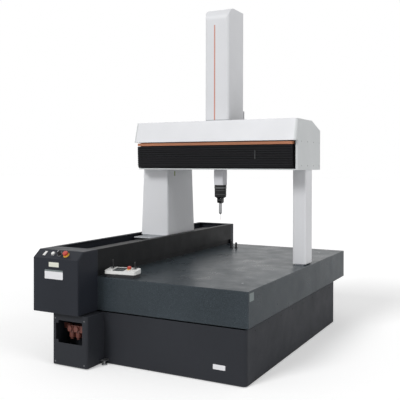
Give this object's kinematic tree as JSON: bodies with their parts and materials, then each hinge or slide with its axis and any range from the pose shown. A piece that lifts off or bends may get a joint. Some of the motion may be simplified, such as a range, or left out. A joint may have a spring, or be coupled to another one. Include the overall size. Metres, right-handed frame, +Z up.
{
  "type": "coordinate measuring machine",
  "caption": "Moving-bridge coordinate measuring machine: granite table on a sheet-metal stand, bridge on a covered side guide, vertical spindle with an articulated probe head and a hand box.",
  "frame": {"origin": "on the floor, under the centre of the machine's overall box", "axes": "+X to the operator's right along the bridge beam, +Y to the rear along the guide, +Z up"},
  "size_m": [1.65, 2.66, 2.844],
  "materials": {
    "granite": "lapped black granite",
    "dark_panel": "dark grey powder coat",
    "cover_dark": "satin dark grey paint",
    "cover_light": "satin off-white paint",
    "cover_grey": "satin light grey paint",
    "frame_steel": "painted welded steel",
    "machined_steel": "ground steel",
    "insert_steel": "stainless steel",
    "bearing_pad": "anodised",
    "guideway": "ground ceramic",
    "structure": "machined",
    "rubber_black": "matt",
    "orange_paint": "satin orange paint",
    "black_plastic": "moulded, ribbed",
    "bellows_fabric": "coated, folded",
    "red_plastic": "moulded",
    "yellow_plastic": "moulded",
    "white_plastic": "moulded",
    "dark_plastic": "moulded",
    "head_metal": "dark anodised",
    "ring_metal": "light anodised",
    "ruby": "synthetic ruby",
    "filter_body": "moulded"
  },
  "bodies": {
    "base": {"stand_frame": "frame_steel", "stand_front_panel": "dark_panel", "stand_rear_panel": "dark_panel", "stand_side_panels": "dark_panel", "levelling_feet": "machined_steel", "isolators": "rubber_black", "granite_table": "granite", "table_inserts": "insert_steel", "y_guide_rail": "granite", "y_dust_band": "machined_steel", "y_drive_bar": "machined_steel", "guide_front_cap": "cover_dark", "guide_inner_wall": "cover_dark", "guide_outer_wall": "cover_dark", "guide_rear_end": "cover_dark", "estop_collar": "yellow_plastic", "air_unit_box": "dark_panel", "air_filters": "filter_body", "sensor_posts": "dark_plastic"},
    "emergency_stop": {"panel_estop": "red_plastic"},
    "power_button": {"power_button": "white_plastic"},
    "selector": {"selector_knob": "dark_plastic"},
    "power_rocker": {"power_rocker": "white_plastic"},
    "bridge": {"main_leg_foot": "structure", "foot_bearing_pads": "bearing_pad", "main_leg_column": "structure", "main_leg_cover": "cover_light", "aux_leg": "cover_light", "aux_leg_pad": "bearing_pad", "x_beam": "guideway", "housing_end_left": "cover_grey", "housing_end_right": "cover_grey", "housing_upper_cover": "cover_light", "housing_rear_cover": "cover_light", "housing_floor": "cover_grey", "housing_grille": "black_plastic", "accent_stripe": "orange_paint", "bellows_left": "bellows_fabric", "bellows_right": "bellows_fabric"},
    "carriage": {"x_carriage": "structure", "carriage_bearing_pads": "bearing_pad", "column_cover": "cover_light", "column_stripe": "orange_paint", "counterbalance_cylinder": "machined_steel"},
    "spindle": {"z_spindle": "guideway", "counterbalance_rod": "machined_steel", "head_mount": "head_metal", "head_ring": "ring_metal"},
    "head": {"head_rotor": "head_metal"},
    "probe": {"probe_knuckle": "head_metal", "probe_body": "machined_steel", "stylus": "machined_steel", "stylus_ball": "ruby"},
    "hand_box": {"pendant_base": "dark_plastic", "pendant_case": "white_plastic"},
    "hand_box_stop": {"pendant_estop": "red_plastic"},
    "gimbal": {"joystick_gimbal": "machined_steel"},
    "left_stick": {"joystick_left": "dark_plastic"},
    "right_stick": {"joystick_right": "dark_plastic"}
  },
  "joints": [
    {"name": "bridge_y", "type": "slide", "parent": "base", "child": "bridge", "axis": [0, 1, 0], "range_m": [-1, 0.605]},
    {"name": "carriage_x", "type": "slide", "parent": "bridge", "child": "carriage", "axis": [1, 0, 0], "range_m": [-0.36, 0.545], "deforming": ["bellows_left", "bellows_right"]},
    {"name": "spindle_z", "type": "slide", "parent": "carriage", "child": "spindle", "axis": [0, 0, 1], "range_m": [-0.355, 0.135]},
    {"name": "head_roll", "type": "hinge", "parent": "spindle", "child": "head", "pos_m": [0.045, 0.08, 1.24], "axis": [0, 0, 1], "range_deg": [-180, 180]},
    {"name": "probe_pitch", "type": "hinge", "parent": "head", "child": "probe", "pos_m": [0.045, 0.08, 1.1715], "axis": [1, 0, 0], "range_deg": [0, 105]},
    {"name": "emergency_stop_push", "type": "slide", "parent": "base", "child": "emergency_stop", "axis": [0, 0.6178, -0.7863], "range_m": [0, 0.004]},
    {"name": "power_button_push", "type": "slide", "parent": "base", "child": "power_button", "axis": [0, 0.6178, -0.7863], "range_m": [0, 0.003], "stiffness_N_per_m": 400, "springref_m": -0.003},
    {"name": "selector_turn", "type": "hinge", "parent": "base", "child": "selector", "pos_m": [-0.599, -1.295, 0.8225], "axis": [0, -0.6178, 0.7863], "range_deg": [0, 90]},
    {"name": "power_rocker_tilt", "type": "hinge", "parent": "base", "child": "power_rocker", "pos_m": [-0.736, -1.29315, 0.82014], "axis": [1, 0, 0], "range_deg": [0, 9]},
    {"name": "hand_box_lift", "type": "slide", "parent": "base", "child": "hand_box", "axis": [0, 0, 1], "range_m": [0, 0.3]},
    {"name": "hand_box_stop_push", "type": "slide", "parent": "hand_box", "child": "hand_box_stop", "axis": [-0.0145, 0.0984, -0.995], "range_m": [0, 0.004]},
    {"name": "left_stick_tilt", "type": "hinge", "parent": "hand_box", "child": "gimbal", "pos_m": [-0.33732, -0.98829, 0.69483], "axis": [0.9893, 0.1461, 0], "range_deg": [-18, 18], "stiffness_Nm_per_rad": 0.1},
    {"name": "left_stick_roll", "type": "hinge", "parent": "gimbal", "child": "left_stick", "pos_m": [-0.33732, -0.98829, 0.69483], "axis": [-0.1454, 0.9844, 0.0995], "range_deg": [-18, 18], "stiffness_Nm_per_rad": 0.1},
    {"name": "right_stick_tilt", "type": "hinge", "parent": "hand_box", "child": "right_stick", "pos_m": [-0.15984, -0.95804, 0.69524], "axis": [0.9893, 0.1461, 0], "range_deg": [-18, 18], "stiffness_Nm_per_rad": 0.1}
  ]
}
